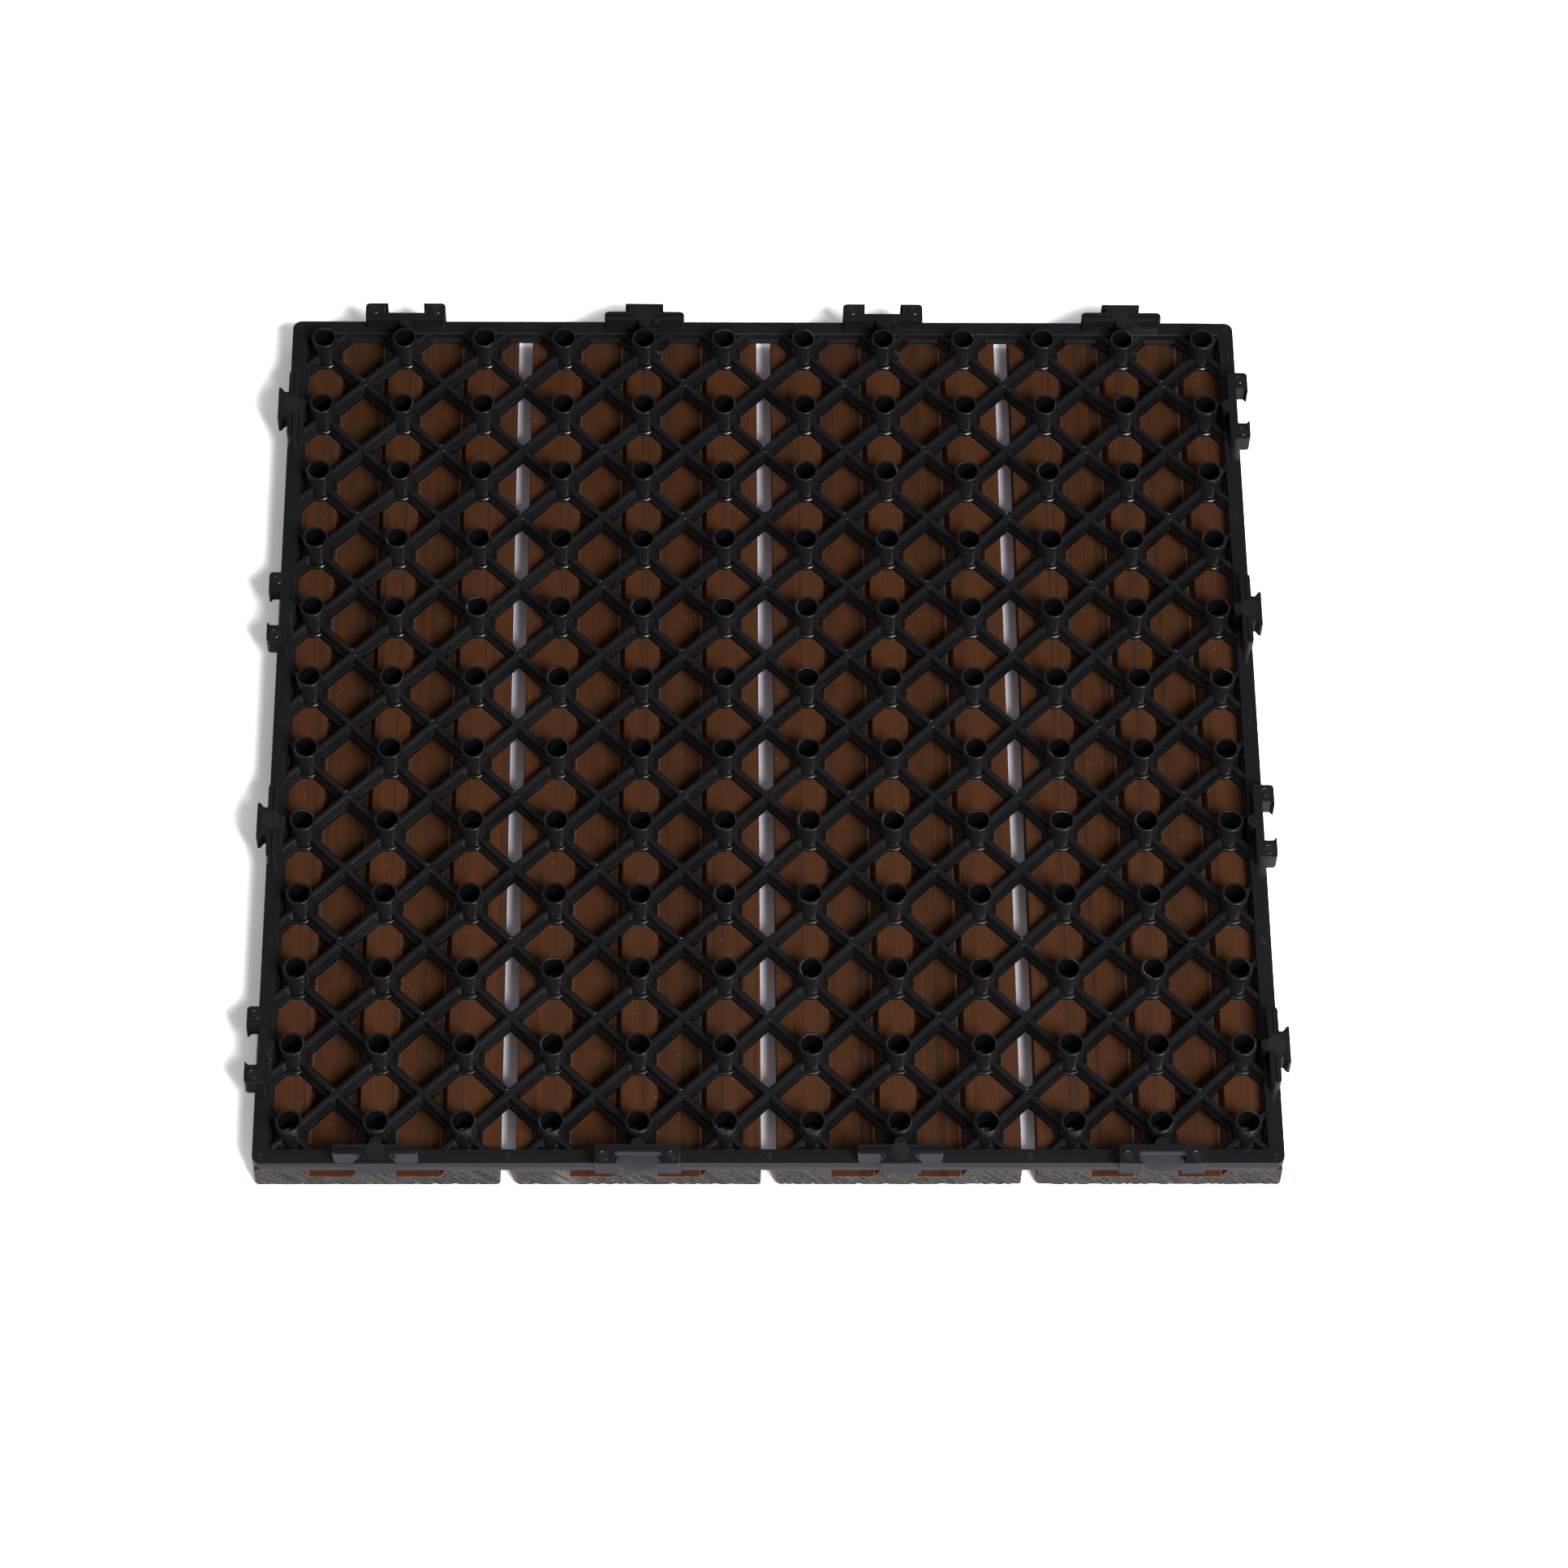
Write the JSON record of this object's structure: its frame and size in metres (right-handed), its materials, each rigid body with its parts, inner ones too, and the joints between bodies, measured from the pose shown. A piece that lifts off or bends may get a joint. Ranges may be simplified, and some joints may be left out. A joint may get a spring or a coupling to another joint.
{
  "type": "interlocking deck tile",
  "caption": "Square outdoor deck tile of grooved wood-plastic slats screwed to a black moulded grid base with hollow feet and hooked edge clips, lying face down.",
  "frame": {"origin": "centre of the tile at the level of the slats' wear faces", "axes": "+Z out of the underside, towards the feet, because the tile is stored face down as pictured and is turned over for use; +Y along the slats; +X across them"},
  "size_m": [0.302, 0.302, 0.0196],
  "materials": {
    "base_plastic": "satin black polypropylene",
    "composite": "sawn and extruded reddish-brown wood-plastic composite",
    "screw_steel": "zinc-plated"
  },
  "bodies": {
    "root": {"base": "base_plastic", "slat_1": "composite", "slat_2": "composite", "slat_3": "composite", "slat_4": "composite", "screws": "screw_steel"}
  },
  "joints": []
}
